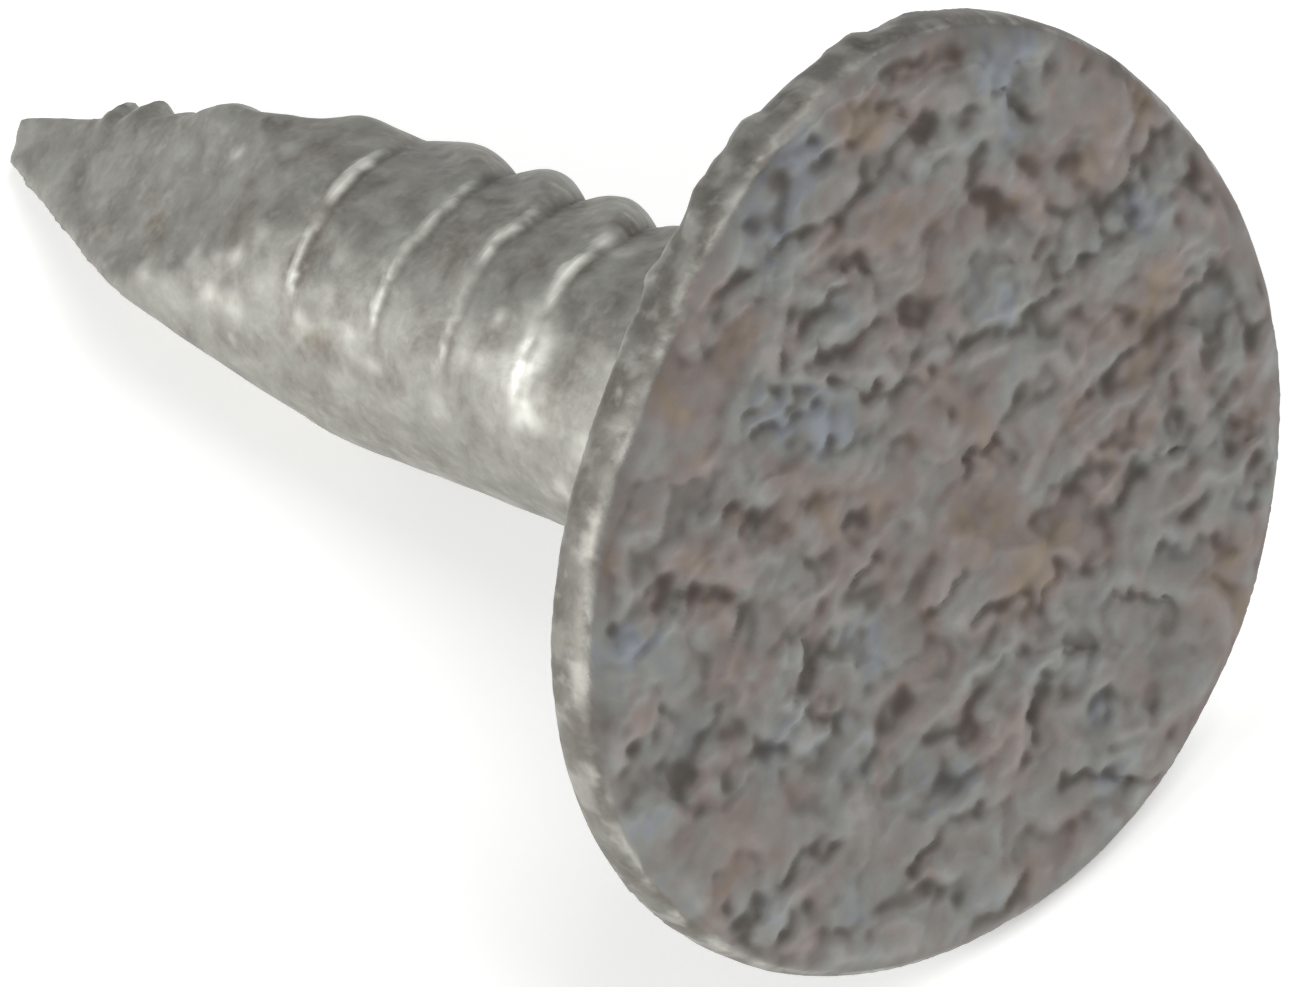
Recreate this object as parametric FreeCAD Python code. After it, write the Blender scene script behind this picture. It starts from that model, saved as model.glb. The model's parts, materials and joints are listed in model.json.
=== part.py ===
import FreeCAD, Part
import math
import os

from FreeCAD import Placement, Rotation, Vector

# A short, thick roofing nail with an extra large flat head, hot-dip galvanised.
#
# The nail is drawn along its own axis first: z = 0 at the blunt end of the steel point, +z towards the
# head. Directions around the axis are in degrees: 0 is the side that faces up when the nail lies down,
# 180 the side that faces the floor. Last, the nail is laid on the floor as it comes to rest, on its tip
# and the rim of its head, with the head towards +X and the point towards -X.
#
# steel_nail is the forging. zinc_coat is the same shape grown by the coat's thickness, less the steel.

# ---- driving dimensions, in millimetres and degrees ----
wire_diameter = 3.0       # the steel shank, under the head
shank_draft = 0.02        # the steel is this much slimmer across at its point end; the zinc makes it up
coat_thickness = 0.06     # hot-dip zinc, all over

head_diameter = 9.65      # steel, mean over its uneven outline
head_thickness = 0.55     # steel
head_tilt = 2.4           # the header left the head a little out of square
head_tilt_towards = -33.0
rim_round = 0.14          # rounded edges of the steel rim
neck_fillet = 0.25        # between the shank and the head's underside

shank_length = 12.95      # from under the head to the end of the point

# The point is nipped to four flat faces. Each face: the way it looks, its slope to the axis, and how
# far from the axis it meets the blunt end.
point_faces = (
    (26.0, 16.0, 0.09),
    (136.0, 13.2, 0.11),
    (216.0, 16.0, 0.22),
    (306.0, 13.0, 0.26),
)

# Barbs pressed into one side of the wire by the gripping dies.
grip_count = 4
grip_first = 5.62         # the notch nearest the point
grip_pitch = 0.9
grip_depth = 0.14
grip_drop = 0.18          # axial length of a notch's steep side, which faces the head
grip_land = 0.45          # wire left at full size between one notch and the next
grip_towards = -40.0      # middle of the barbed side
grip_reach = 100.0        # the notches fade out this far around, to each side

# The forged rim is not a circle: it spread into three soft lobes. Each lobe: the way it points, its
# rise as a share of the radius, and its half width.
head_lobes = (
    (-13.0, 0.103, 65.0),
    (94.0, 0.104, 80.0),
    (-140.0, 0.061, 119.0),
)
outline_points = 36       # the smooth rim passes through this many points

wire_radius = wire_diameter / 2
nail_length = shank_length + head_thickness


def around(angle, radius=1.0, height=0.0):
    """A point at this angle around the nail's axis."""
    turn = math.radians(angle)
    return Vector(radius * math.cos(turn), radius * math.sin(turn), height)


def head_radius(angle):
    """Radius of the steel head's outline in one direction."""
    share = 1 - sum(rise * half_width for _, rise, half_width in head_lobes) / 360
    for towards, rise, half_width in head_lobes:
        away = abs((angle - towards + 180) % 360 - 180)
        if away < half_width:
            share += rise * (1 + math.cos(math.pi * away / half_width)) / 2
    return share * head_diameter / 2


def head(coat):
    """The lobed disc with rounded edges, tilted about the middle of its struck face."""
    step = 360 / outline_points
    rim = Part.BSplineCurve()
    rim.interpolate(
        [around(i * step, head_radius(i * step) + coat) for i in range(outline_points)],
        PeriodicFlag=True,
    )
    outline = Part.Face(Part.Wire(rim.toShape()))
    disc = outline.extrude(Vector(0, 0, head_thickness + 2 * coat))
    disc.translate(Vector(0, 0, -head_thickness - coat))
    edges = [edge for edge in disc.Edges if edge.BoundBox.ZLength < head_thickness / 2]
    disc = disc.makeFillet(rim_round + coat, edges)
    disc.rotate(Vector(0, 0, 0), around(head_tilt_towards + 90), head_tilt)
    disc.translate(Vector(0, 0, nail_length))
    return disc


def neck_edges(blank, radius):
    """The edges where the shank's wall runs into the head's underside."""
    found = []
    for edge in blank.Edges:
        middle = edge.valueAt((edge.FirstParameter + edge.LastParameter) / 2)
        at_wall = abs(math.hypot(middle.x, middle.y) - radius) < radius / 100
        if at_wall and abs(middle.z - shank_length) < wire_radius / 4:
            found.append(edge)
    return found


def outside_of_face(towards, slope, offset, coat):
    """A block that holds what is nipped off beyond one flat face of the point."""
    lean = math.radians(slope)
    past_tip = 2 * wire_diameter
    past_shank = (wire_diameter - offset) / math.sin(lean)
    past_shank = min(past_shank, shank_length - neck_fillet)
    block = Part.makeBox(
        past_tip,
        2 * past_tip,
        past_tip + past_shank,
        Vector(0, -past_tip, -past_tip),
    )
    block.rotate(Vector(0, 0, 0), Vector(0, 1, 0), slope)
    block.translate(Vector(offset + coat / math.cos(lean), 0, 0))
    block.rotate(Vector(0, 0, 0), Vector(0, 0, 1), towards)
    return block


def notch_ring(height, coat):
    """A ring with a V-shaped inner edge, set off the nail's axis so that its cut fades out sideways."""
    fade = 1 - math.cos(math.radians(grip_reach))
    offset = grip_depth / fade
    root = wire_radius + coat - grip_depth + offset
    climb = grip_pitch - grip_drop - grip_land
    spread = 1.5
    profile = Part.makePolygon([
        Vector(root, 0, height),
        Vector(root + spread * grip_depth, 0, height + spread * climb),
        Vector(root + spread * grip_depth, 0, height - spread * grip_drop),
        Vector(root, 0, height),
    ])
    ring = Part.Face(profile).revolve(Vector(0, 0, 0), Vector(0, 0, 1), 360)
    ring.translate(around(grip_towards + 180, offset))
    return ring


def nail_body(coat, draft):
    """The whole nail, grown by a coat's thickness, with its shank slimmer by the draft at the point."""
    radius = wire_radius + coat
    length = nail_length - head_thickness / 2 + coat
    if draft:
        shank = Part.makeCone(radius - draft / 2, radius, length, Vector(0, 0, -coat))
    else:
        shank = Part.makeCylinder(radius, length, Vector(0, 0, -coat))
    blank = shank.fuse(head(coat)).removeSplitter()
    blank = blank.makeFillet(neck_fillet - coat, neck_edges(blank, radius))
    for towards, slope, offset in point_faces:
        blank = blank.cut(outside_of_face(towards, slope, offset, coat))
    for i in range(grip_count):
        blank = blank.cut(notch_ring(grip_first + i * grip_pitch, coat))
    return blank.Solids[0]


def lying(angle):
    """How the nail's own axes turn when it lies with its axis at this angle to the floor."""
    turn = math.radians(angle)
    up_side = Vector(-math.sin(turn), 0, math.cos(turn))
    left_side = Vector(0, -1, 0)
    headwards = Vector(math.cos(turn), 0, math.sin(turn))
    return Placement(Vector(0, 0, 0), Rotation(up_side, left_side, headwards, "ZXY"))


def laid(shape, place):
    """A copy of the shape, moved."""
    return shape.transformed(place.toMatrix(), copy=True)


def resting_angle(body):
    """The angle at which the head's rim and the end of the point are equally low."""
    rim = head(coat_thickness)
    tip = [vertex.Point for vertex in body.Vertexes if vertex.Point.z < wire_radius / 2]
    low, high = 5.0, 45.0
    while high - low > 0.001:
        angle = (low + high) / 2
        place = lying(angle)
        rim_height = laid(rim, place).optimalBoundingBox(False).ZMin
        tip_height = min(place.multVec(point).z for point in tip)
        if rim_height < tip_height:
            low = angle
        else:
            high = angle
    return (low + high) / 2


steel = nail_body(0, shank_draft)
coated = nail_body(coat_thickness, 0)
angle = resting_angle(coated)
place = lying(angle)
box = laid(coated, place).optimalBoundingBox(False)
place.Base = Vector(-box.Center.x, -box.Center.y, -box.ZMin)

steel_nail = laid(steel, place)
zinc_coat = laid(coated, place).cut(steel_nail).Solids[0]

os.makedirs("parts", exist_ok=True)
for name, shape in (("steel_nail", steel_nail), ("zinc_coat", zinc_coat)):
    shape.exportStep("parts/" + name + ".step")
    print(name, "valid", shape.isValid(), "volume", round(shape.Volume, 3), "shells", len(shape.Shells))


def spot(point):
    """A point of the upright nail, where it is on the floor."""
    moved = place.multVec(point)
    return [round(value, 4) for value in moved]


def way(direction):
    """A direction of the upright nail, as it lies."""
    return [round(value, 6) for value in place.Rotation.multVec(direction)]


tilt = Rotation(around(head_tilt_towards + 90), head_tilt)
square = tilt.multVec(Vector(0, 0, 1))
top = Vector(0, 0, nail_length)
print("lies at", round(angle, 3), "degrees; box", [round(x, 3) for x in (box.XLength, box.YLength, box.ZLength)])
print("shank middle", spot(Vector(0, 0, shank_length * 0.6)), "leaves towards", way(Vector(0, 0, -1)))
print("struck face", spot(top + square * coat_thickness), "faces", way(square))
under = top + tilt.multVec(around(0, head_diameter / 3, -head_thickness - coat_thickness))
print("underside", spot(under), "faces", way(square * -1))
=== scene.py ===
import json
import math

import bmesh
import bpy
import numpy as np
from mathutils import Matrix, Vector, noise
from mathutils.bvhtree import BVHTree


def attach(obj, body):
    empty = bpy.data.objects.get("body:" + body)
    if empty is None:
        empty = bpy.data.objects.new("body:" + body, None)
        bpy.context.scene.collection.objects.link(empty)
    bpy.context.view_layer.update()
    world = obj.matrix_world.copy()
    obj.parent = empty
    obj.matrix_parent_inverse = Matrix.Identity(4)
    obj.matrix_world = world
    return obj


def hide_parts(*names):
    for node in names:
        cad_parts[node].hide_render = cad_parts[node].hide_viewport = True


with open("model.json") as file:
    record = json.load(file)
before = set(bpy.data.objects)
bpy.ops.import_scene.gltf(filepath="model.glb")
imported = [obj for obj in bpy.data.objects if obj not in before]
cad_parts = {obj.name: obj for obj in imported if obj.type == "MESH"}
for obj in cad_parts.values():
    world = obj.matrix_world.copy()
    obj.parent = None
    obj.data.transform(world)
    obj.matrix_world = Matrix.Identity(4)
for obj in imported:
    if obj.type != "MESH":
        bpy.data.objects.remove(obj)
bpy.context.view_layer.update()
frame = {"nodes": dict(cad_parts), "record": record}

# %% [markdown]
# # A short roofing nail, hot-dip galvanised
#
# The nail is one steel forging with a skin of zinc over all of it. The steel stays as the CAD made
# it and never shows. What the eye sees is the zinc: dull and scaly where the hammer will land,
# silvery and speckled on the rim and the shank, with barbs down one side. So this file models one
# piece, the zinc coat, and gives it most of its lines.
#
# The order is: where things are, the camera and the studio, the plain shape, the sculpting, the two
# metals.

# %% [markdown]
# ## The nail's own frame
#
# The nail lies leaning on the floor, but it is easier to shape upright: z runs from the tip of the
# point to the head, x is the side that faces up when it lies, and units are millimetres. The mounts
# in the record say where the shank's axis and the struck face are, so one matrix takes the finished
# shape to its place.

# %% The matrix that lays the nail down
MM = 0.001
mounts = {mount["name"]: mount for mount in frame["record"]["mounts"]}
wire = mounts["shank"]["dims"]["r_mm"]
headwards = -Vector(mounts["shank"]["axis"])
left = Vector((0, -1, 0))
upside = left.cross(headwards)
on_axis = Vector(mounts["shank"]["pos_m"])
coat_node = frame["nodes"]["zinc_coat"]
reach = min((vertex.co - on_axis).dot(headwards) for vertex in coat_node.data.vertices)
tip = on_axis + headwards * reach
lie_down = Matrix((upside, left, headwards)).transposed().to_4x4()
lie_down = Matrix.Translation(tip) @ lie_down @ Matrix.Scale(MM, 4)
stand_up = lie_down.inverted()

face_middle = stand_up @ Vector(mounts["struck_face"]["pos_m"])
face_normal = (stand_up.to_3x3() @ Vector(mounts["struck_face"]["axis"])).normalized()
print("coated wire radius", wire, "struck face at", [round(x, 3) for x in face_middle])

# %% [markdown]
# ## Camera
#
# A long lens a quarter of a metre away looks down on the struck face, with the point behind to the
# left.

# %% Camera
AZIMUTH, ELEVATION, ROLL = 43.31, 49.62, -1.09     # degrees
DISTANCE = 0.24987                                 # metres, as AIM is
AIM = Vector((0.000676, 0.001132, 0.00015))
LENS, SENSOR = 680.8, 36                           # millimetres

turn, rise = math.radians(AZIMUTH), math.radians(ELEVATION)
backwards = Vector((
    math.sin(turn) * math.cos(rise),
    -math.cos(turn) * math.cos(rise),
    math.sin(rise),
))
rightwards = Vector((math.cos(turn), math.sin(turn), 0))
level_view = Matrix((rightwards, backwards.cross(rightwards), backwards)).transposed()
camera_data = bpy.data.cameras.new("camera")
camera_data.lens = LENS
camera_data.sensor_width = SENSOR
camera_data.clip_start = 0.01
camera_data.clip_end = 10
camera = bpy.data.objects.new("camera", camera_data)
bpy.context.scene.collection.objects.link(camera)
view = level_view @ Matrix.Rotation(math.radians(ROLL), 3, "Z")
camera.matrix_world = Matrix.Translation(AIM + backwards * DISTANCE) @ view.to_4x4()
bpy.context.scene.camera = camera
print("camera at", [round(x, 3) for x in camera.matrix_world.translation])

# %% [markdown]
# ## Studio
#
# A bare metal shows what stands around it, so the studio does half of the work. The nail lies on
# white acrylic that is lit a little from below, as for a catalogue, which keeps the floor bright
# and the shadow soft. A low soft box on the left lights the rim and the near side of the shank and
# only just misses the struck face. A second one overhead leaves the underside of every plate of
# scale in shade.

# %% Floor, room and soft boxes
def srgb(code):
    """A hex colour as the linear colour, fully opaque, that shaders need."""
    parts = [int(code[i:i + 2], 16) / 255 for i in (1, 3, 5)]
    linear = [p / 12.92 if p <= 0.04045 else ((p + 0.055) / 1.055) ** 2.4 for p in parts]
    return (*linear, 1.0)


FLOOR_SIZE = 1.2
floor_shape = bmesh.new()
bmesh.ops.create_grid(floor_shape, x_segments=1, y_segments=1, size=FLOOR_SIZE / 2)
floor_mesh = bpy.data.meshes.new("floor")
floor_shape.to_mesh(floor_mesh)
floor_shape.free()
floor = bpy.data.objects.new("floor", floor_mesh)
bpy.context.scene.collection.objects.link(floor)
acrylic = bpy.data.materials.new("backlit_white_acrylic")
acrylic.use_nodes = True
floor_shader = acrylic.node_tree.nodes["Principled BSDF"].inputs
floor_shader["Base Color"].default_value = srgb("#f4f4f3")
floor_shader["Roughness"].default_value = 0.9
floor_shader["Emission Color"].default_value = srgb("#ffffff")
floor_shader["Emission Strength"].default_value = 0.3
floor_mesh.materials.append(acrylic)

world = bpy.data.worlds.new("grey_room")
world.use_nodes = True
world.node_tree.nodes["Background"].inputs["Color"].default_value = srgb("#c9cacb")
world.node_tree.nodes["Background"].inputs["Strength"].default_value = 0.7
bpy.context.scene.world = world
bpy.context.scene.view_settings.view_transform = "Standard"


def soft_box(name, towards, away, size, power):
    """A square area light that looks at the nail."""
    light = bpy.data.lights.new(name, "AREA")
    light.shape = "SQUARE"
    light.size = size
    light.energy = power
    lamp = bpy.data.objects.new(name, light)
    bpy.context.scene.collection.objects.link(lamp)
    direction = Vector(towards).normalized()
    lamp.location = direction * away
    lamp.rotation_euler = direction.to_track_quat("Z", "Y").to_euler()


soft_box("overhead_box", towards=(0.3, 0.1, 1.0), away=0.6, size=0.4, power=1.7)
soft_box("left_box", towards=(-0.22, -0.95, 0.36), away=0.5, size=0.2, power=2.0)
print("floor", FLOOR_SIZE, "m across, lights:", len(bpy.data.lights))

# %% [markdown]
# ## The plain forging
#
# A nail maker shears wire, upsets one end into the head and nips the other to a four-sided point.
# The mesh is made the same way. The shank is a cylinder with four planes cut through its end. The
# head is half a cross-section spun round the axis, then pushed out to the uneven outline that the
# CAD head has.

# %% The shank and its nipped point
COAT = 0.06
SHANK_SIDES = 96
SHORT_OF_FACE = 0.3                 # the shank ends inside the head, this far under its face
# each face of the point: the way it looks, its slope to the axis, and how far out it meets the
# steel's blunt end
POINT_FACES = ((26, 16.0, 0.09), (136, 13.2, 0.11), (216, 16.0, 0.22), (306, 13.0, 0.26))

shank_end = face_middle.z - SHORT_OF_FACE
forging = bmesh.new()
bmesh.ops.create_cone(
    forging,
    cap_ends=True,
    segments=SHANK_SIDES,
    radius1=wire,
    radius2=wire,
    depth=shank_end,
    matrix=Matrix.Translation((0, 0, shank_end / 2)),
)
for towards, slope, offset in POINT_FACES:
    turn, lean = math.radians(towards), math.radians(slope)
    outward = Vector((math.cos(turn), math.sin(turn), 0))
    normal = outward * math.cos(lean) - Vector((0, 0, math.sin(lean)))
    everything = forging.verts[:] + forging.edges[:] + forging.faces[:]
    cut = bmesh.ops.bisect_plane(
        forging,
        geom=everything,
        plane_co=outward * (offset + COAT / math.cos(lean)) + Vector((0, 0, COAT)),
        plane_no=normal,
        clear_outer=True,
    )
    open_edges = [item for item in cut["geom_cut"] if isinstance(item, bmesh.types.BMEdge)]
    bmesh.ops.contextual_create(forging, geom=open_edges)
print("shank and point:", len(forging.faces), "faces")

# %% [markdown]
# The head's cross-section runs from the axis under the neck, out along the underside, round the rim
# and back to the middle of the struck face. Its edges are well rounded, because the zinc fills in
# every sharp corner.

# %% The head, spun
HEAD_RADIUS = 4.86
HEAD_THICKNESS = 0.67
SPIN_STEPS = 180
MERGED = 0.001                      # corners closer than this become one
# the cross-section's corners, out from the axis and up from the struck face
CROSS_SECTION = (
    (0.0, -1.1), (1.5, -1.1), (1.56, -0.93), (1.63, -0.76), (1.8, -0.68), (3.0, -0.67),
    (4.62, -0.66), (4.78, -0.62), (4.85, -0.53), (4.86, -0.35), (4.86, -0.2), (4.82, -0.08),
    (4.73, -0.02), (4.5, 0.0), (0.0, 0.0),
)

head = bmesh.new()
corners = [head.verts.new((out, 0, up)) for out, up in CROSS_SECTION]
edges = [head.edges.new(pair) for pair in zip(corners, corners[1:])]
bmesh.ops.spin(
    head,
    geom=corners + edges,
    cent=(0, 0, 0),
    axis=(0, 0, 1),
    angle=2 * math.pi,
    steps=SPIN_STEPS,
    use_merge=True,
)
bmesh.ops.remove_doubles(head, verts=head.verts, dist=MERGED)
print("spun head:", len(head.faces), "faces")

# %% [markdown]
# The outline comes from the CAD coat. A ray is sent inwards to it from outside the rim, for each
# point of the head that lies beyond the neck, and the point moves out or in by the share that the
# ray finds.

# %% The uneven outline, and the head in its seat
coat_copy = bmesh.new()
coat_copy.from_mesh(coat_node.data)
bmesh.ops.transform(coat_copy, matrix=stand_up, verts=coat_copy.verts)
coat_surface = BVHTree.FromBMesh(coat_copy)
tilt = Vector((0, 0, 1)).rotation_difference(face_normal).to_matrix().to_4x4()
seat = Matrix.Translation(face_middle) @ tilt
rim_level = Vector((0, 0, -HEAD_THICKNESS / 2))
beyond_neck = 2 * wire
ray_start = 2 * HEAD_RADIUS
for vertex in head.verts:
    out = Vector((vertex.co.x, vertex.co.y, 0))
    if out.length > beyond_neck:
        from_outside = seat @ (rim_level + out.normalized() * ray_start)
        inward = seat.to_3x3() @ -out.normalized()
        hit = coat_surface.ray_cast(from_outside, inward)[0]
        outline = ray_start - (hit - from_outside).length
        vertex.co += out * (outline / HEAD_RADIUS - 1)
bmesh.ops.transform(head, matrix=seat, verts=head.verts)
bmesh.ops.recalc_face_normals(head, faces=head.faces)
coat_copy.free()
print("head reaches", round(max(vertex.co.xy.length for vertex in head.verts), 2), "mm out")

# %% [markdown]
# ## One skin
#
# Zinc is a liquid skin, so the coat has no seam between head and shank. A voxel remesh does what
# the bath does: it makes one closed skin over both shapes, with small even faces that can be
# sculpted.

# %% One closed skin
SKIN_CELL = 0.085

head_mesh = bpy.data.meshes.new("head_plain")
head.to_mesh(head_mesh)
forging.from_mesh(head_mesh)
bmesh.ops.recalc_face_normals(forging, faces=forging.faces)
plain = bpy.data.meshes.new("forging_plain")
forging.to_mesh(plain)
forging.free()
head.free()
bpy.data.meshes.remove(head_mesh)
blank = bpy.data.objects.new("forging_plain", plain)
bpy.context.scene.collection.objects.link(blank)
dip = blank.modifiers.new("dip", "REMESH")
dip.mode = "VOXEL"
dip.voxel_size = SKIN_CELL
bpy.context.view_layer.update()
dipped = blank.evaluated_get(bpy.context.evaluated_depsgraph_get())
skin = bpy.data.meshes.new_from_object(dipped)
bpy.data.objects.remove(blank)
print("even skin:", len(skin.polygons), "faces")

# %% [markdown]
# The struck face and the barbs carry the finest detail, so their faces are cut in four.

# %% Finer faces where the detail is
FACE_DEPTH = 0.1                    # below the struck face
BARBS_FROM, BARBS_TO = 3.6, 10.6    # up the nail

fine = bmesh.new()
fine.from_mesh(skin)
to_head = seat.inverted()
detailed = set()
for face in fine.faces:
    middle = face.calc_center_median()
    on_face = (to_head @ middle).z > -FACE_DEPTH
    on_upper_side = middle.x > 0.3 * wire and math.hypot(*middle.xy) < 1.2 * wire
    on_barbs = BARBS_FROM < middle.z < BARBS_TO and on_upper_side
    if on_face or on_barbs:
        detailed.update(face.edges)
bmesh.ops.subdivide_edges(
    fine, edges=list(detailed), cuts=1, use_grid_fill=True, use_single_edge=True,
)
fine.to_mesh(skin)
fine.free()
triangles = sum(len(face.vertices) - 2 for face in skin.polygons)
print("skin:", len(skin.vertices), "points,", triangles, "triangles")

# %% [markdown]
# ## Sculpting
#
# From here each point of the skin moves a little along its own normal, as a sculptor's brush would
# move it. The amounts are worked out for all points at once with numpy. The tools come first: a
# smoothing brush, how far each point is round, out and up the nail, a lumpy noise whose lumps have
# a size in millimetres, and a soft ramp. The brush is used at once, because zinc rounds the point's
# sharp edges.

# %% A smoothing brush
SOFTENED_UP_TO = 5.5                # the point and a little of the shank
SOFTENING = 4

count = len(skin.vertices)
points = np.empty(count * 3, np.float32)
skin.vertices.foreach_get("co", points)
points = points.reshape(-1, 3).astype(float)
edge_ends = np.empty(len(skin.edges) * 2, np.int32)
skin.edges.foreach_get("vertices", edge_ends)
one_end, other_end = edge_ends.reshape(-1, 2).T
neighbours = np.bincount(one_end, minlength=count) + np.bincount(other_end, minlength=count)


def shared(values, passes):
    """Each point's value averaged with its neighbours', this many times over."""
    for _ in range(passes):
        total = np.bincount(one_end, values[other_end], count)
        total += np.bincount(other_end, values[one_end], count)
        values = (values + total) / (neighbours + 1)
    return values


for axis in range(3):
    softened = shared(points[:, axis], SOFTENING)
    points[:, axis] = np.where(points[:, 2] < SOFTENED_UP_TO, softened, points[:, axis])
skin.vertices.foreach_set("co", points.ravel())
skin.update()
print("softened the point's edges")

# %% Where each point is
SEED_STEP = 7.31                    # each seed reads the noise this much further on

normals = np.empty(count * 3, np.float32)
skin.vertices.foreach_get("normal", normals)
normals = normals.reshape(-1, 3).astype(float)

out = np.hypot(points[:, 0], points[:, 1])
around = np.degrees(np.arctan2(points[:, 1], points[:, 0]))
height = points[:, 2]


def lumps(places, size, layers=1, seed=0, stretch=(1, 1, 1)):
    """Soft noise from about -1 to 1 at each place, in lumps of this size in mm."""
    moved = places / (np.array(stretch) * size) + seed * SEED_STEP
    return np.array([noise.fractal(place, 0.9, 2.0, layers) for place in moved.tolist()])


def ramp(values, start, end):
    """0 before start, 1 after end, and a smooth climb between them."""
    t = np.clip((values - start) / (end - start), 0, 1)
    return t * t * (3 - 2 * t)


head_frame = np.array(seat.inverted())
in_head = points @ head_frame[:3, :3].T + head_frame[:3, 3]
normal_up = normals @ np.array(face_normal)
# each of these is 1 on its part of the nail, and fades to 0 at the edge of that part
on_struck = ramp(normal_up, 0.75, 0.95) * ramp(in_head[:, 2], -0.25, -0.12)
face_toned = ramp(normal_up, 0.6, 0.85) * ramp(in_head[:, 2], -0.3, -0.16)
on_head = ramp(in_head[:, 2], -0.85, -0.72)
on_shank = 1 - on_head
print("points on the struck face:", int((on_struck > 0.5).sum()))

# %% [markdown]
# ## Barbs
#
# Gripping dies hold the wire while the head is forged, and press barbs into one side. Each barb is
# a scallop: it swells slowly towards the head and drops back quickly into a notch. The notches
# climb as they go round, and all of it fades out round the shank.

# %% Barbs on one side of the shank
# each barb: where it starts, its rise in mm, and its skew, which is low where it swells quickly
BARBS = (
    (3.65, 0.13, 0.62),
    (5.3, 0.16, 1.15),
    (6.56, 0.19, 1.15),
    (7.54, 0.19, 1.15),
    (8.6, 0.17, 1.15),
)
LAST_NOTCH = 9.85
BARB_SIDE = -40
SLANT = 0.85                    # the notches climb this far towards the near side
SLANT_AT_SILHOUETTE = 0.46      # share of the climb done at -51 degrees, where the starts apply
NEAR_FLATTER = 0.68             # on the near side a barb is flatter by this share
NEAR_SKEW = 2.6                 # and its skew is this much more, so it leans further

wander = 0.07 * lumps(points, 0.9, 2, seed=1) + 0.04 * lumps(points, 0.2, 2, seed=2)
past_side = (around - BARB_SIDE + 180) % 360 - 180
near_side = ramp(past_side, 0, 34)
slant = SLANT * (ramp(past_side, -48, 30) - SLANT_AT_SILHOUETTE)
along = height - slant + wander * ramp(past_side, -20, 10)
swell = np.zeros(count)
barb_ends = [start for start, _, _ in BARBS[1:]] + [LAST_NOTCH]
for (start, rise, skew), end in zip(BARBS, barb_ends):
    share = np.clip((along - start) / (end - start), 0, 1)
    leaning = np.sin(np.pi * share ** (skew + NEAR_SKEW * near_side))
    swell += rise * (1 - NEAR_FLATTER * near_side) * leaning
barbed = (1 - ramp(np.abs(past_side), 50, 100)) * ramp(height, 3.4, 4.0)
print("highest barb", round(float((swell * barbed * on_shank).max()), 3), "mm")

# %% [markdown]
# Where the dies' teeth ran out, on the near side, a barb ends in a thin ragged lip of zinc with a
# narrow groove behind it. A lip is a band with soft sides beside its notch, and only some stretches
# of it are left. Later the lip is painted bright as a painted highlight, and the groove is painted
# dark as a painted shadow.

# %% Ragged lips
# the stretches of each barb's lip: from and to which direction, and how strong, which sets the
# lip's width and rise and how bright its painted highlight is
LIP_STRETCHES = (
    ((28, 50, 0.55), (-14, 14, 1.0)),
    ((28, 52, 0.5), (19, 22, 0.6), (4, 15, 0.5), (-16, -2, 0.8)),
    ((42, 56, 0.25), (28, 33, 0.3), (-14, 15, 0.65)),
    ((-14, 14, 0.9),),
    (),
)
LIP_HALF_WIDTH, LIP_FROM_NOTCH, LIP_RISE = 0.042, 0.11, 0.02
SHADOW_HALF_WIDTH, SHADOW_FROM_LIP, SHADOW_DEPTH = 0.045, 0.085, 0.01
SHADOW_SIDE = 18                # the middle of the stretch that has a shadow
FADE_OUTSIDE, FADE_INSIDE = 5, 2        # degrees over which a stretch fades at each end

raggedness = 0.7 + 0.45 * ramp(lumps(points, 0.3, 2, seed=3), -0.4, 0.4)
shadow_side = 1 - ramp(np.abs(around - SHADOW_SIDE), 34, 60)
lip = np.zeros(count)
lip_shadow = np.zeros(count)
for end, stretches in zip(barb_ends, LIP_STRETCHES):
    past_lip = along - end + LIP_FROM_NOTCH
    for from_side, to_side, strength in stretches:
        lit = ramp(around, from_side - FADE_OUTSIDE, from_side + FADE_INSIDE)
        lit *= 1 - ramp(around, to_side - FADE_INSIDE, to_side + FADE_OUTSIDE)
        half_width = LIP_HALF_WIDTH * (0.5 + strength) * raggedness
        band = np.exp(-((past_lip / half_width) ** 4))
        lip = np.maximum(lip, strength * lit * raggedness * band)
    past_shadow = (past_lip - SHADOW_FROM_LIP) / SHADOW_HALF_WIDTH
    lip_shadow += np.exp(-(past_shadow ** 2)) * shadow_side
above_point = on_shank * ramp(height, 4.6, 5.2)
lip *= above_point
lip_shadow *= above_point
shank_relief = on_shank * swell * barbed + LIP_RISE * lip - SHADOW_DEPTH * lip_shadow
print("points on lips:", int((lip > 0.3).sum()))

# %% [markdown]
# ## Scale on the struck face
#
# The hammered face is covered in thin plates of zinc and iron scale. Terraced noise makes the
# plates: smooth noise is cut into levels, and its coordinates are first bent by finer noise so that
# the edges are ragged. The zinc has run over every edge, so each step from plate to plate is a soft
# slope. Plates come in three sizes, one laid over the other.

# %% Plates at three sizes
across = -in_head[:, 1]
up_face = in_head[:, 0]
flat = np.column_stack((across, up_face, np.zeros(count)))
struck = on_struck > 0.01
here = flat[struck]

# as shares of a plate's size: how far its edges are bent and frayed, and how long the bends are
BENT_BY, BEND_LENGTH = 0.38, 0.6
FRAYED_BY, FRAY_LENGTH = 0.07, 0.22
PLATE_STRETCH = (1.15, 0.92, 1)     # plates lie a little longer across the face than up it
EDGE_SLOPE = 0.05                   # half the width of the slope between levels, at 1 mm plates


def plate_level(places, size, steps, seed):
    """0 to 1: how high the scale lies at each place, in plates of about this size in mm."""
    bent = places.copy()
    for k in (0, 1):
        bent[:, k] += BENT_BY * size * lumps(places, BEND_LENGTH * size, 2, seed + k + 1)
        bent[:, k] += FRAYED_BY * size * lumps(places, FRAY_LENGTH * size, 2, seed + k + 3)
    field = lumps(bent, size, 2, seed, PLATE_STRETCH)
    slope = EDGE_SLOPE / size
    return sum(ramp(field, step - slope, step + slope) for step in steps) / len(steps)


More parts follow.
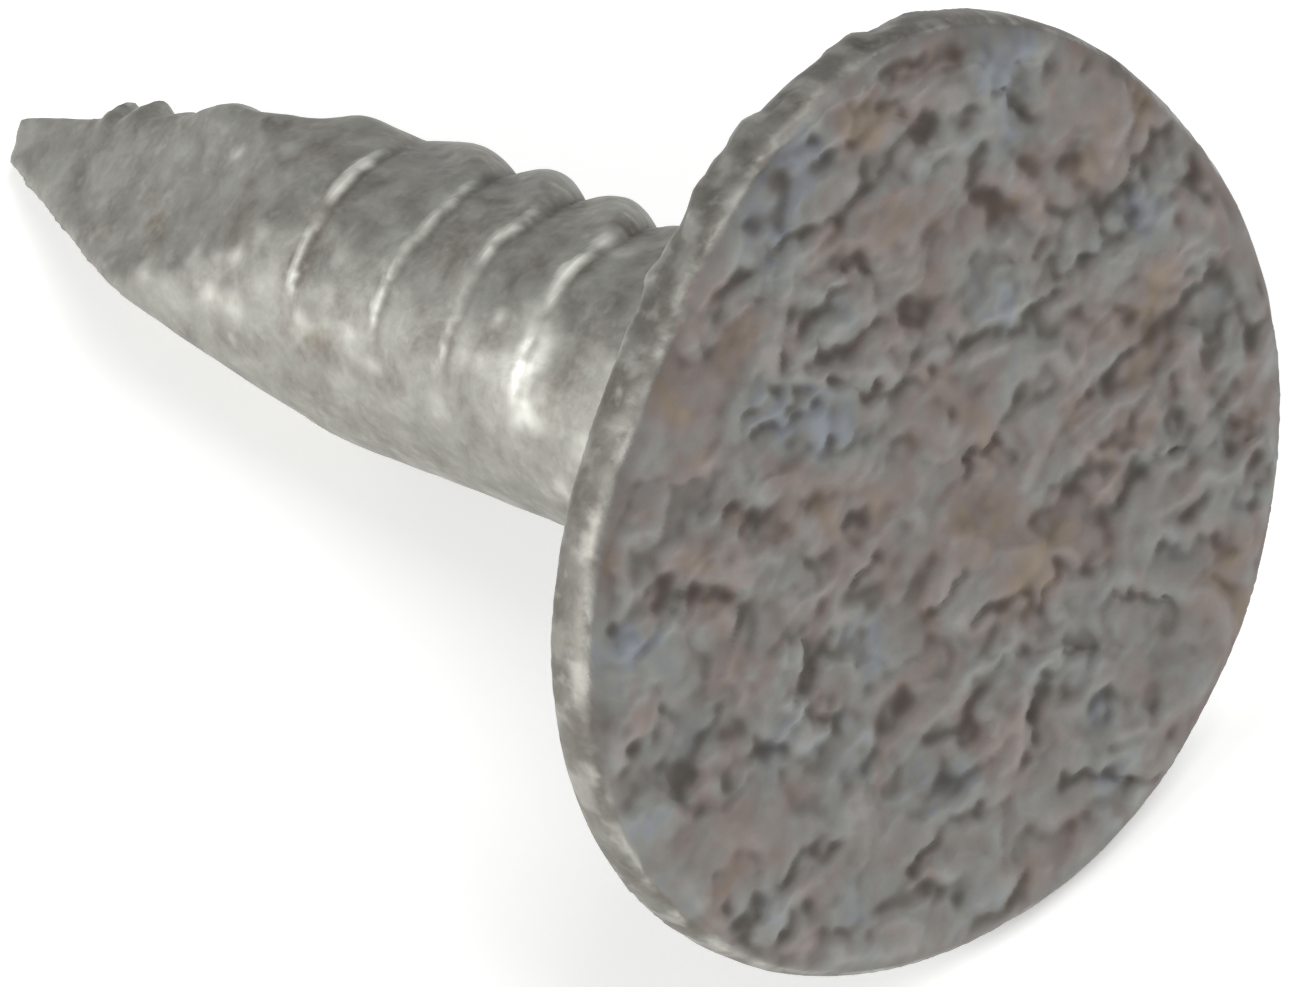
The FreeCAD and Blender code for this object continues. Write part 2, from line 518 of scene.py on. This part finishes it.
large = plate_level(here, size=1.5, steps=(-0.2, 0.05, 0.3), seed=11)
middling = plate_level(here, size=0.75, steps=(-0.15, 0.15), seed=51)
small = plate_level(here, size=0.4, steps=(-0.1, 0.2), seed=71)
high_shares = [round(float((level > 0.6).mean()), 2) for level in (large, middling, small)]
print("share of the face on high plates:", high_shares)

# %% [markdown]
# Some seams are longer and deeper than noise gives, so they are listed one by one. A seam is a
# ragged valley, and the scale above it laps over its edge.

# %% Where the seams run
# each seam: its half width, then its corners as (across, up) from the middle of the face, in mm
SEAMS = (
    (0.12, (
        (-1.9, 3.85), (-1.3, 4.0), (-0.8, 3.92), (-0.2, 3.75), (0.4, 3.85), (0.9, 3.97), (1.9, 3.7),
    )),
    (0.15, ((-0.1, 3.8), (0.5, 3.95))),
    (0.11, ((-0.4, 3.4), (-0.1, 3.2), (0.05, 2.95))),
    (0.07, ((-0.9, 3.05), (-0.3, 3.05))),
    (0.12, ((1.7, 3.2), (1.6, 2.8), (1.75, 2.5))),
    (0.07, ((2.2, 3.7), (2.5, 3.2))),
    (0.08, ((3.1, 1.65), (3.6, 1.8), (4.3, 1.9))),
    (0.06, ((-0.8, 2.2), (-0.5, 1.85), (0.0, 1.6), (0.4, 1.5))),
    (0.06, ((-0.9, 2.75), (-0.6, 2.45), (-0.1, 2.35))),
    (0.10, ((0.8, 1.4), (1.3, 1.35), (1.6, 1.2), (2.0, 1.2))),
    (0.09, ((2.2, 1.35), (2.6, 1.25), (3.0, 1.35))),
    (0.07, ((-2.0, 2.6), (-1.6, 2.65), (-1.4, 2.4), (-1.05, 2.3))),
    (0.06, ((-1.9, 2.35), (-1.3, 2.15), (-1.0, 2.1))),
    (0.10, ((-3.8, 1.75), (-3.4, 1.45), (-3.0, 1.15), (-2.85, 1.35), (-2.6, 1.6))),
    (0.07, ((-2.5, 1.85), (-2.2, 1.5))),
    (0.07, ((-4.7, 0.35), (-4.3, 0.3), (-4.15, 0.5))),
    (0.06, ((-1.3, 0.75), (-0.9, 0.65))),
    (0.06, ((-1.4, 0.1), (-1.0, 0.2))),
    (0.07, ((0.3, 0.15), (0.5, 0.35), (0.9, 0.25))),
    (0.06, ((1.0, 0.45), (1.3, 0.55))),
    (0.12, ((2.1, -0.05), (3.0, 0.0), (4.1, 0.05))),
    (0.09, ((-3.2, -0.7), (-2.8, -0.8), (-2.4, -0.75), (-2.2, -1.1))),
    (0.06, ((-2.4, -0.35), (-2.2, -0.05))),
    (0.07, ((-0.6, -0.85), (-0.1, -0.75))),
    (0.10, ((1.3, -0.7), (1.7, -0.85), (2.0, -0.8))),
    (0.07, ((-0.1, -1.3), (0.4, -1.4), (0.7, -1.7), (1.0, -1.55), (1.4, -1.75))),
    (0.08, ((2.0, -1.3), (2.6, -1.25), (2.9, -1.45))),
    (0.16, ((-2.0, -1.75), (-1.7, -1.6), (-1.3, -1.5))),
    (0.10, ((-3.7, -2.2), (-3.0, -2.1), (-2.6, -2.3))),
    (0.10, ((-3.6, -2.7), (-3.3, -2.6))),
    (0.13, ((0.3, -2.0), (0.4, -2.4), (0.1, -2.9))),
    (0.07, ((1.6, -2.2), (2.0, -2.6), (2.3, -2.9))),
    (0.07, ((-1.9, -3.1), (-1.2, -3.05), (-0.6, -3.2))),
    (0.09, ((-1.8, -3.4), (-1.5, -3.8))),
    (0.08, ((0.95, -3.1), (1.1, -3.2))),
    (0.06, ((0.2, -3.6), (1.0, -4.1), (1.3, -4.4))),
    (0.10, ((-0.1, 4.75), (0.8, 4.85), (1.5, 4.6))),
)
print("seams:", len(SEAMS))

# %% Seams cut, with the scale lapping over
SEAM_WANDER = 0.14                  # how far a seam strays from its line
OVERHANG_REACH = 0.3                # how far back from a seam the lapping scale is lifted
SEAM_MIDDLE = 0.06                  # the lift turns from one side's to the other's within this

ragged = flat + np.column_stack((
    SEAM_WANDER * lumps(flat, 0.3, 2, seed=21),
    SEAM_WANDER * lumps(flat, 0.3, 2, seed=22),
    np.zeros(count),
))
widths = 0.55 + 1.1 * ramp(lumps(flat, 0.5, 2, seed=23), -0.35, 0.45)
seam = np.zeros(count)
overhang = np.zeros(count)
for half_width, corners in SEAMS:
    for start, end in zip(corners, corners[1:]):
        start, end = np.array((*start, 0.0)), np.array((*end, 0.0))
        run = end - start
        share = np.clip((ragged - start) @ run / (run @ run), 0, 1)
        gap = ragged - start - share[:, None] * run
        distance = np.linalg.norm(gap, axis=1)
        seam = np.maximum(seam, np.exp(-((distance / (half_width * widths)) ** 2)))
        lift = np.exp(-distance / OVERHANG_REACH) * np.tanh(gap[:, 1] / SEAM_MIDDLE)
        overhang = np.where(np.abs(lift) > np.abs(overhang), lift, overhang)
seam *= 0.6 + 0.4 * ramp(lumps(flat, 0.35, 2, seed=24), -0.3, 0.2)
print("share of the struck face in seams:", round(float((seam[struck] > 0.4).mean()), 3))

# %% [markdown]
# The relief adds it all up: a broad unevenness, the seams, the plates and a fine grain. The two
# smaller sizes of plate crowd together in some places and thin out in others, and all the scale is
# thinner along the edge, which keeps the outline clean.

# %% The face's relief
SEAM_DEPTH, OVERHANG_RISE = 0.04, 0.014
LARGE_STEP, MIDDLING_STEP, SMALL_STEP = 0.05, 0.042, 0.015
EDGE_SHARE = 0.35                   # how much of the relief is left at the edge

face_relief = 0.02 + 0.03 * lumps(points, 1.8, 2, seed=32)
face_relief += OVERHANG_RISE * overhang
face_relief -= SEAM_DEPTH * seam
crowded = 0.3 + 0.7 * ramp(lumps(here, 1.3, 2, seed=33), -0.25, 0.3)
smaller = MIDDLING_STEP * (middling - 0.5) + SMALL_STEP * (small - 0.5)
face_relief[struck] += LARGE_STEP * (large - 0.5) + crowded * smaller
face_relief += 0.003 * lumps(points, 0.16, 2, seed=31)
within_edge = ramp(shared(on_struck, 25), 0.65, 1.0)
face_relief *= on_struck * (EDGE_SHARE + (1 - EDGE_SHARE) * within_edge)
depths = [round(float(value), 3) for value in (face_relief.min(), face_relief.max())]
print("the scale goes from", depths[0], "to", depths[1], "mm")

# %% [markdown]
# ## Rim, point and the rest of the skin
#
# Zinc drains off unevenly, so the rim and the shank carry soft lumps, a third of a millimetre
# across and nearly one across. Where the dies met the head, the back edge of the rim is notched.

# %% Soft lumps and the notched rim
def turned_from(middle):
    """Degrees between each point's direction round the nail and this one."""
    return np.abs((around - middle + 180) % 360 - 180)


skin_lumps = 0.006 * lumps(points, 0.32, 2, seed=41) + 0.014 * lumps(points, 0.9, 2, seed=42)
on_point = 1 - ramp(height, 2.4, 4.2)
rim_side = on_head * ramp(out, 3.5, 4.0) * (1 - ramp(np.abs(normal_up), 0.6, 0.9))
skin_relief = skin_lumps * (1 - on_struck) * (1 - 0.7 * on_point) * (1 - 0.5 * rim_side)

back_edge = on_head * ramp(-in_head[:, 2], 0.25, 0.5) * ramp(out, 4.2, 4.7)
notched = back_edge * (1 - ramp(turned_from(5), 18, 38))
rim_relief = notched * 0.09 * lumps(points, 0.5, 2, seed=43)
rim_relief += 0.005 * rim_side * lumps(points, 0.4, 2, seed=44)
print("notched points on the rim:", int((notched > 0.5).sum()))

# %% [markdown]
# Shearing left small burrs beside the point, and the nipping blades met off square, so the blunt
# end slants. The burrs are the last part of the relief, so the skin is moved here.

# %% Burrs, and the slanting blunt end
# each burr: height, the way it looks, its size and its rise
BURRS = (
    (1.42, -42, 0.12, 0.24), (1.8, -42, 0.14, 0.27), (2.35, -40, 0.13, 0.14),
    (3.15, -42, 0.36, 0.15), (3.4, -20, 0.2, 0.05),
)
BURR_WIDER = 2.2                    # a burr is this much wider round the nail than along it
LEAST_RADIUS = 0.3                  # keeps a burr from spreading round the thin tip
SLANT_SIDE = np.radians(-51)
BLUNT_SLANT = 0.55                  # how far the end drops for each millimetre out

burr_relief = np.zeros(count)
for at_height, towards, size, rise in BURRS:
    side_off = np.radians(turned_from(towards)) * np.maximum(out, LEAST_RADIUS)
    away = np.hypot(height - at_height, side_off / BURR_WIDER)
    burr_relief += rise * np.exp(-((away / size) ** 2))

relief = face_relief + shank_relief + skin_relief + rim_relief + burr_relief
points += normals * relief[:, None]
out_slanted = points[:, 0] * np.cos(SLANT_SIDE) + points[:, 1] * np.sin(SLANT_SIDE)
points[:, 2] -= BLUNT_SLANT * np.maximum(out_slanted, 0) * (1 - ramp(height, 0.05, 1.3))
print("relief from", round(float(relief.min()), 3), "to", round(float(relief.max()), 3), "mm")

# %% [markdown]
# Zinc wets all of the steel, so no point of the coat may lie on the steel or inside it. Each point
# that came too near is pushed out again, to 18 microns from the steel.

# %% A least thickness for the coat
LEAST_COAT = 0.018
STEEL_WITHIN = 0.15                 # points further off than this are left alone

core = bmesh.new()
core.from_mesh(frame["nodes"]["steel_nail"].data)
bmesh.ops.transform(core, matrix=stand_up, verts=core.verts)
core_surface = BVHTree.FromBMesh(core)
thinned = 0
for index, place in enumerate(points.tolist()):
    nearest, outward, _, gap = core_surface.find_nearest(Vector(place), STEEL_WITHIN)
    if nearest is None:
        continue
    away = Vector(place) - nearest
    outside = away.dot(outward) > 0
    if outside and gap >= LEAST_COAT:
        continue
    push = away.normalized() if outside and gap > LEAST_COAT / 10 else outward
    points[index] = nearest + push * LEAST_COAT
    thinned += 1
core.free()
skin.vertices.foreach_set("co", points.ravel())
print("points pushed off the steel:", thinned)

# %% [markdown]
# ## Painted shade in the hollows and painted highlight on the ridges
#
# The colour is darkened in the hollows, where shade falls, and lightened on the ridges as if lit.
# The
# sculpted relief tells which is which: a point that is lower than the average of its surroundings
# is in a hollow. The smoothing brush makes that average. A painted shadow behind each lip, random
# mottling and a darker rim side go into the same value.

# %% Hollows and ridges
FINE_DEPTH, BROAD_DEPTH = 0.008, 0.02       # mm, a full hollow at each scale
MOTTLED = 0.16              # how much of the light and dark does not follow the relief
RIM_DULLED = 0.34

fine_hollow = (shared(relief, 8) - relief) / FINE_DEPTH
broad_hollow = (shared(relief, 45) - relief) / BROAD_DEPTH
# painted shade in the hollows and painted highlight on the ridges, stronger on the struck face
shade = (0.3 + 0.7 * on_struck) * (0.13 * fine_hollow + 0.34 * broad_hollow)
# random mottling and a darker rim side are tone; the painted shadow behind each lip is added here
shade += MOTTLED * lumps(points, 0.6, 3, seed=45) + RIM_DULLED * rim_side + 0.3 * lip_shadow
shade_and_mottle = shared(np.clip(0.5 + shade, 0, 1), 2)
print("in hollows:", round(float((shade_and_mottle[struck] > 0.75).mean()), 3), "of the struck face")

# %% [markdown]
# The alloy layer's colour changes with how much iron came through: tan and pink where it is rich
# in iron, green and blue grey where it is nearly pure zinc. The main patches are listed and noise
# fills in between.

# %% Colour patches on the struck face
# each patch: across, up, radius, and its tint, which is below 0 where it is rich in iron and above
# 0 where it is nearly pure zinc
PATCHES = (
    (0.6, 4.4, 0.45, -1.2), (0.4, 3.3, 0.35, -1.0), (-1.6, 3.4, 0.35, -1.0),
    (-2.8, 3.4, 0.5, -0.8), (-2.2, 0.8, 0.6, -0.8), (0.0, 0.9, 0.8, -0.5),
    (2.6, -0.9, 0.8, -0.6), (3.4, 0.6, 0.35, -0.9), (-4.5, 0.7, 0.35, -0.8),
    (-0.4, -2.7, 0.6, -0.8), (-3.9, -1.6, 0.6, -0.7), (2.8, -3.2, 0.6, -0.6),
    (3.5, 2.5, 0.7, -0.3), (0.6, 2.0, 0.5, -0.6), (0.6, -1.2, 0.6, -0.5),
    (-3.2, 1.7, 0.35, -0.8), (-1.3, -2.6, 0.6, 1.1), (-4.0, 1.3, 0.5, 1.1),
    (-4.0, 0.2, 0.45, 1.1), (-1.7, 2.4, 0.45, 1.0), (2.2, 3.8, 0.5, 1.1),
    (-1.0, 1.9, 0.4, 0.8), (-1.5, -0.7, 0.35, 0.9), (1.2, -3.0, 0.8, 0.5),
    (-0.7, 4.3, 0.6, 0.4), (-2.6, -1.6, 0.6, 0.4), (1.2, 2.0, 0.5, 0.4),
    (3.3, 1.3, 0.5, 0.4), (-0.6, -3.6, 0.4, 0.4), (1.3, 0.6, 0.4, 0.4),
)
tint = 0.9 * lumps(ragged, 0.9, 3, seed=61) + 0.5 * lumps(ragged, 0.3, 2, seed=62)
for at_across, at_up, radius, amount in PATCHES:
    away = np.hypot(ragged[:, 0] - at_across, ragged[:, 1] - at_up)
    tint += amount * np.exp(-((away / radius) ** 2))
tint[struck] += 0.5 * (crowded - 0.65) + 0.4 * (large - 0.5)
print("tint from", round(float(tint.min()), 2), "to", round(float(tint.max()), 2))

# %% [markdown]
# On the shank, small spots are painted almost white, most of them on the near side: partly
# burnished wear, partly painted highlights where crests catch the light. There is a little rust in
# the groove next to the head and in three faint patches below it. Elsewhere on the shank and the
# rim the tint only wanders a little.

# %% Burnished spots, painted highlight spots and rust
# each spot: height, the way it looks, its half length along the nail and round it, and its strength
BURNISHED_AND_HIGHLIT = (
    (9.0, 50, 0.28, 0.42, 0.6), (9.15, 35, 0.2, 0.3, 0.45), (9.2, 63, 0.24, 0.34, 0.35),
    (8.5, 34, 0.08, 0.09, 0.6), (9.0, 18, 0.08, 0.14, 0.5), (9.2, -12, 0.12, 0.2, 0.6),
    (8.4, 50, 0.16, 0.12, 0.4), (7.88, 76, 0.14, 0.16, 0.35), (8.1, 40, 0.2, 0.3, 0.18),
    (7.1, 45, 0.25, 0.25, 0.15), (6.2, 53, 0.09, 0.2, 0.3), (6.5, 60, 0.2, 0.1, 0.35),
    (6.9, 68, 0.2, 0.1, 0.35), (6.17, 35, 0.1, 0.1, 0.3), (5.96, 62, 0.12, 0.1, 0.25),
    (4.55, 66, 0.13, 0.16, 0.4), (4.86, 66, 0.18, 0.14, 0.4), (5.3, 55, 0.14, 0.16, 0.3),
    (5.78, 63, 0.12, 0.14, 0.25), (3.92, 6, 0.11, 0.1, 0.4), (4.2, 14, 0.1, 0.08, 0.25),
    (4.67, -1, 0.16, 0.14, 0.4), (10.1, 35, 0.18, 0.16, 0.35), (10.0, 71, 0.15, 0.25, 0.35),
    (9.6, 91, 0.18, 0.2, 0.4), (10.6, 55, 0.2, 0.35, 0.45), (11.3, 45, 0.25, 0.3, 0.45),
    (11.0, 80, 0.2, 0.3, 0.4), (3.5, 67, 0.2, 0.12, 0.35), (4.2, 54, 0.12, 0.12, 0.4),
    (4.6, 50, 0.13, 0.1, 0.45), (4.84, 46, 0.08, 0.15, 0.4), (5.08, 37, 0.12, 0.1, 0.25),
)
RUSTED = (
    (9.5, 50, 0.16, 0.5, 0.35), (7.2, 76, 0.2, 0.3, 0.4), (3.3, 50, 0.2, 0.2, 0.4),
    (6.0, 70, 0.3, 0.3, 0.3),
)


def spotted(spots):
    """0 to about 1: how far each point is inside these spots, with ragged edges."""
    inside = np.zeros(count)
    for at_height, towards, tall, wide, amount in spots:
        side_off = np.radians(turned_from(towards)) * out
        away = np.hypot((height - at_height) / tall, side_off / wide)
        inside += amount * np.exp(-(away ** 2))
    return inside * (0.9 + 0.8 * lumps(points, 0.22, 2, seed=63)) * on_shank


tint = np.where(on_struck > 0.5, tint, 0.5 * lumps(points, 0.6, 2, seed=64) - 1.6 * spotted(RUSTED))
# painted sheen: lighter patches on the rim's side
rim_shine = rim_side * ramp(lumps(points, 0.4, 3, seed=65), 0.0, 0.35)
# a painted highlight along the rounded edge of the struck face, where it would catch the light
face_edge_highlight = np.exp(-(((normal_up - 0.65) / 0.15) ** 2)) * ramp(in_head[:, 2], -0.3, -0.2)
face_edge_highlight *= ramp(lumps(points, 0.4, 2, seed=66), -0.3, 0.3)
# bright: the lips' painted highlight, the burnished and highlight spots, the rim's painted sheen
# and the face edge's painted highlight
bright = np.clip(0.75 * lip + spotted(BURNISHED_AND_HIGHLIT) + 0.2 * rim_shine + 0.2 * face_edge_highlight, 0, 1)
print("burnished points:", int((bright > 0.5).sum()))

# %% Attributes, and the coat laid in its place
def store(name, values):
    """Keeps one number per point for the material."""
    skin.attributes.new(name, "FLOAT", "POINT").data.foreach_set("value", values.astype(np.float32))


store("struck", face_toned)
store("shade_and_mottle", shade_and_mottle)
store("tint", np.clip(0.5 + 0.4 * tint, 0, 1))
store("bright", bright)
skin.transform(lie_down)
skin.name = "zinc_skin"
coat = bpy.data.objects.new("zinc_skin", skin)
bpy.context.scene.collection.objects.link(coat)
skin.polygons.foreach_set("use_smooth", [True] * len(skin.polygons))
skin.update()
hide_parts("zinc_coat")
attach(coat, "root")
print("the skin holds", len(skin.attributes), "attributes")

# %% [markdown]
# ## A tool for materials
#
# Each node is added by one function, which takes its settings, the values and links of its inputs
# by name or number, and a colour ramp's stops.

# %% Adding a node
def node(tree, kind, settings=None, values=None, links=None, stops=()):
    """Adds a node with its settings, input values, input links and colour stops."""
    made = tree.nodes.new(kind)
    for name, value in (settings or {}).items():
        setattr(made, name, value)
    for place, value in (values or {}).items():
        made.inputs[place].default_value = value
    for place, socket in (links or {}).items():
        tree.links.new(socket, made.inputs[place])
    while stops and len(made.color_ramp.elements) < len(stops):
        made.color_ramp.elements.new(0.5)
    for element, (position, code) in zip(made.color_ramp.elements if stops else (), stops):
        element.position = position
        element.color = srgb(code)
    return made


# %% [markdown]
# ## Hot-dip zinc
#
# A galvanised nail tumbles hot out of the bath, so its zinc is not bright and spangled but grey and
# alloyed with iron. It is a rough metal: its reflections are broad and soft. On the struck face it
# is dull, and shifts between tan, pink, green and blue grey. On the shank and the rim it is
# silvery, bright where it was burnished against other nails, and carries painted highlights and
# painted glints.

# %% Zinc: where things are
zinc = bpy.data.materials.new("hot_dip_zinc_alloyed")
zinc.use_nodes = True
tree = zinc.node_tree
shader = tree.nodes["Principled BSDF"]
shader.inputs["Metallic"].default_value = 0.8

where = node(tree, "ShaderNodeTexCoord")
in_mm = node(
    tree, "ShaderNodeVectorMath", {"operation": "SCALE"},
    values={"Scale": 1 / MM}, links={"Vector": where.outputs["Object"]},
)
place_mm = in_mm.outputs["Vector"]
is_struck, shade_and_mottle_fac, has_tint, is_bright = (
    node(tree, "ShaderNodeAttribute", {"attribute_name": name}).outputs["Fac"]
    for name in ("struck", "shade_and_mottle", "tint", "bright")
)
print("zinc so far:", len(tree.nodes), "nodes")

# %% Zinc: the dull struck face
GRAIN_MM = 0.12

grain = node(
    tree, "ShaderNodeTexNoise",
    values={"Scale": 1 / GRAIN_MM, "Detail": 3.0, "Roughness": 0.55}, links={"Vector": place_mm},
)
tint_spread = node(
    tree, "ShaderNodeMath", {"operation": "MULTIPLY_ADD"},
    values={1: 0.5, 2: -0.25}, links={0: grain.outputs["Fac"]},
)
tint_frayed = node(
    tree, "ShaderNodeMath", {"operation": "ADD"},
    links={0: has_tint, 1: tint_spread.outputs["Value"]},
)
alloy = node(
    tree, "ShaderNodeValToRGB", links={"Fac": tint_frayed.outputs["Value"]},
    stops=(
        (0.0, "#9d9081"), (0.22, "#9b8f8b"), (0.48, "#9a9693"), (0.7, "#9c9d99"), (1.0, "#969aa2"),
    ),
)
# painted shade: multiplies the colour darker in the hollows and leaves the ridges lightest
painted_shading = node(
    tree, "ShaderNodeValToRGB", links={"Fac": shade_and_mottle_fac},
    stops=(
        (0.0, "#ffffff"), (0.3, "#ececea"), (0.55, "#dbd9d7"), (0.8, "#b2aeaa"), (1.0, "#8e8883"),
    ),
)
face_colour = node(
    tree, "ShaderNodeMix", {"data_type": "RGBA", "blend_type": "MULTIPLY"},
    values={0: 1.0}, links={6: alloy.outputs["Color"], 7: painted_shading.outputs["Color"]},
)
print("with the face's colours:", len(tree.nodes), "nodes")

# %% Zinc: the silvery shank and rim
MOTTLE_MM = 0.45

mottle = node(
    tree, "ShaderNodeTexNoise",
    values={"Scale": 1 / MOTTLE_MM, "Detail": 4.0, "Roughness": 0.6, "Distortion": 0.3},
    links={"Vector": place_mm},
)
silver = node(
    tree, "ShaderNodeValToRGB", links={"Fac": mottle.outputs["Fac"]},
    stops=((0.3, "#8e8b86"), (0.5, "#a3a39d"), (0.7, "#b7b7b1")),
)
rust = node(
    tree, "ShaderNodeValToRGB", links={"Fac": tint_frayed.outputs["Value"]},
    stops=((0.0, "#c4b095"), (0.3, "#eae5e1"), (0.5, "#ffffff")),
)
silver_rusted = node(
    tree, "ShaderNodeMix", {"data_type": "RGBA", "blend_type": "MULTIPLY"},
    values={0: 1.0}, links={6: silver.outputs["Color"], 7: rust.outputs["Color"]},
)
silver_shaded = node(
    tree, "ShaderNodeMix", {"data_type": "RGBA", "blend_type": "MULTIPLY"},
    values={0: 0.8}, links={6: silver_rusted.outputs[2], 7: painted_shading.outputs["Color"]},
)
print("with the shank's colours:", len(tree.nodes), "nodes")

# %% Zinc: the two together, with the burnished and painted highlight spots and painted glints
GLINT_MM = 0.2

both = node(
    tree, "ShaderNodeMix", {"data_type": "RGBA"},
    links={0: is_struck, 6: silver_shaded.outputs[2], 7: face_colour.outputs[2]},
)
# burnished wear and painted highlights, mixed in almost white
worn_and_highlit = node(
    tree, "ShaderNodeMix", {"data_type": "RGBA"},
    values={7: srgb("#e4e4dc")}, links={0: is_bright, 6: both.outputs[2]},
)
# painted glints: pale specks on the shank and rim, standing for small facets catching the light
glint_noise = node(
    tree, "ShaderNodeTexNoise",
    values={"Scale": 1 / GLINT_MM, "Detail": 2.0, "Roughness": 0.5}, links={"Vector": place_mm},
)
painted_glints = node(
    tree, "ShaderNodeMapRange",
    values={"From Min": 0.58, "From Max": 0.8, "To Min": 0.0, "To Max": 0.35},
    links={"Value": glint_noise.outputs["Fac"]},
)
glints_on_face = node(
    tree, "ShaderNodeMath", {"operation": "MULTIPLY"},
    links={0: is_struck, 1: painted_glints.outputs["Result"]},
)
glints_on_shank = node(
    tree, "ShaderNodeMath", {"operation": "SUBTRACT"},
    links={0: painted_glints.outputs["Result"], 1: glints_on_face.outputs["Value"]},
)
glinted = node(
    tree, "ShaderNodeMix", {"data_type": "RGBA"},
    values={7: srgb("#bbbbb3")},
    links={0: glints_on_shank.outputs["Value"], 6: worn_and_highlit.outputs[2]},
)
tree.links.new(glinted.outputs[2], shader.inputs["Base Color"])
print("with spots and flecks:", len(tree.nodes), "nodes")

# %% Zinc: dullness and fine relief
PIT_DEPTH, RUN_DEPTH = 0.000008, 0.00002    # metres

dull = node(
    tree, "ShaderNodeMapRange",
    values={"From Min": 0.3, "From Max": 0.7, "To Min": 0.52, "To Max": 0.66},
    links={"Value": mottle.outputs["Fac"]},
)
polished = node(
    tree, "ShaderNodeMath", {"operation": "MULTIPLY_ADD"},
    values={1: -0.06}, links={0: is_bright, 2: dull.outputs["Result"]},
)
tree.links.new(polished.outputs["Value"], shader.inputs["Roughness"])

pitting = node(
    tree, "ShaderNodeBump", values={"Strength": 0.5, "Distance": PIT_DEPTH},
    links={"Height": grain.outputs["Fac"]},
)
runs = node(
    tree, "ShaderNodeBump", values={"Strength": 0.5, "Distance": RUN_DEPTH},
    links={"Height": mottle.outputs["Fac"], "Normal": pitting.outputs["Normal"]},
)
tree.links.new(runs.outputs["Normal"], shader.inputs["Normal"])
skin.materials.clear()
skin.materials.append(zinc)
print("zinc, whole:", len(tree.nodes), "nodes")

# %% [markdown]
# ## Drawn steel
#
# The steel under the zinc is low-carbon wire drawn through a die. It has fine lines along the axis
# and a little of the dull phosphate that carried the drawing soap. It would only show where a cut
# went through the coat. The lines are really a few microns apart, and are drawn at 0.08 mm so that
# they show.

# %% Steel: the lines of the die
DRAW_LINE_MM = 0.08
LINE_STRETCH = 0.04                 # the lines are 25 times as long as they are wide

steel = bpy.data.materials.new("drawn_low_carbon_steel")
steel.use_nodes = True
tree = steel.node_tree
shader = tree.nodes["Principled BSDF"]
shader.inputs["Metallic"].default_value = 1.0
where = node(tree, "ShaderNodeTexCoord")
in_mm = node(
    tree, "ShaderNodeVectorMath", {"operation": "SCALE"},
    values={"Scale": 1 / MM}, links={"Vector": where.outputs["Object"]},
)
along_nail = node(
    tree, "ShaderNodeMapping", {"vector_type": "POINT"},
    values={"Rotation": (0, math.asin(headwards.z), 0), "Scale": (LINE_STRETCH, 1.0, 1.0)},
    links={"Vector": in_mm.outputs["Vector"]},
)
lines = node(
    tree, "ShaderNodeTexNoise",
    values={"Scale": 1 / DRAW_LINE_MM, "Detail": 3.0},
    links={"Vector": along_nail.outputs["Vector"]},
)
drawn = node(
    tree, "ShaderNodeValToRGB", links={"Fac": lines.outputs["Fac"]},
    stops=((0.3, "#85868a"), (0.7, "#a9aaad")),
)
tree.links.new(drawn.outputs["Color"], shader.inputs["Base Color"])
print("drawn lines", DRAW_LINE_MM, "mm wide")

# %% Steel: phosphate and scratches
PHOSPHATE_MM = 0.6
SCRATCH_DEPTH = 0.00001             # metres

phosphate = node(
    tree, "ShaderNodeTexNoise",
    values={"Scale": 1 / PHOSPHATE_MM, "Detail": 3.0}, links={"Vector": in_mm.outputs["Vector"]},
)
worn = node(
    tree, "ShaderNodeMapRange",
    values={"From Min": 0.3, "From Max": 0.7, "To Min": 0.3, "To Max": 0.45},
    links={"Value": phosphate.outputs["Fac"]},
)
tree.links.new(worn.outputs["Result"], shader.inputs["Roughness"])
scratched = node(
    tree, "ShaderNodeBump", values={"Strength": 0.5, "Distance": SCRATCH_DEPTH},
    links={"Height": lines.outputs["Fac"]},
)
tree.links.new(scratched.outputs["Normal"], shader.inputs["Normal"])
steel_nail = frame["nodes"]["steel_nail"]
steel_nail.data.materials.clear()
steel_nail.data.materials.append(steel)
print("steel:", len(tree.nodes), "nodes")
